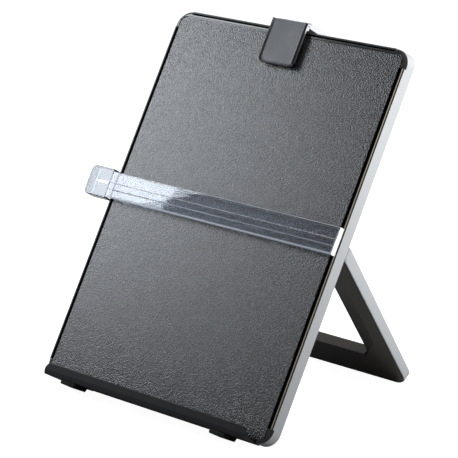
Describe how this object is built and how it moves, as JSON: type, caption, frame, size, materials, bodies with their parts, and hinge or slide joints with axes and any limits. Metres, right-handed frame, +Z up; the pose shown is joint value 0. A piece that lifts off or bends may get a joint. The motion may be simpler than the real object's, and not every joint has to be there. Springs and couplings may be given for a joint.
{
  "type": "copy holder with line guide",
  "caption": "Black desk copy holder that leans on a folding silver stand, with a spring clip on its top edge, a paper ledge at its foot and a clear sliding line guide.",
  "frame": {"origin": "middle of the footprint, on the desk, with the board leaning back and the stand open", "axes": "+X across the board to the right, +Y away from the reader, +Z up"},
  "size_m": [0.2648, 0.2156, 0.2866],
  "materials": {
    "grained_black": "fine pebble grain",
    "smooth_black": "smooth satin",
    "stand_black": "smooth satin",
    "silver": "satin silver paint on moulded plastic",
    "clear": "clear polished moulding",
    "shoe_white": "slippery natural plastic",
    "clip_black": "soft gloss",
    "rubber": "matt",
    "steel": "plated"
  },
  "bodies": {
    "board": {"front_panel": "grained_black", "rear_shell": "silver", "side_rail_left": "smooth_black", "side_rail_right": "smooth_black", "top_rail": "smooth_black", "ledge": "smooth_black", "foot_pad_left": "rubber", "foot_pad_right": "rubber", "heel_pad_left": "rubber", "heel_pad_right": "rubber", "shell_screws": "steel", "ledge_screws": "steel"},
    "stand": {"kickstand_frame": "stand_black", "kickstand_cover": "silver", "hinge_pin_left": "steel", "hinge_pin_right": "steel"},
    "guide": {"line_guide": "clear", "guide_shoe_left": "shoe_white", "guide_shoe_right": "shoe_white"},
    "clip_slider": {"clip_saddle": "steel", "clip_pin": "steel", "clip_spring": "steel"},
    "clip_arm": {"clip_lever": "silver", "clip_leaf": "clip_black", "clip_pad": "rubber"}
  },
  "joints": [
    {"name": "stand_fold", "type": "hinge", "parent": "board", "child": "stand", "pos_m": [0.01245, 0.00712, 0.12822], "axis": [-1, 0, 0], "range_deg": [0, 65.4]},
    {"name": "guide_travel", "type": "slide", "parent": "board", "child": "guide", "axis": [0, 0.5519, 0.8339], "range_m": [-0.14, 0.115]},
    {"name": "clip_travel", "type": "slide", "parent": "board", "child": "clip_slider", "axis": [1, 0, 0], "range_m": [-0.085, 0.085]},
    {"name": "clip_squeeze", "type": "hinge", "parent": "clip_slider", "child": "clip_arm", "pos_m": [0.01245, 0.09897, 0.26662], "axis": [-1, 0, 0], "range_deg": [0, 18], "stiffness_Nm_per_rad": 0.06, "springref_deg": -57.3, "deforming": ["clip_spring"]}
  ]
}
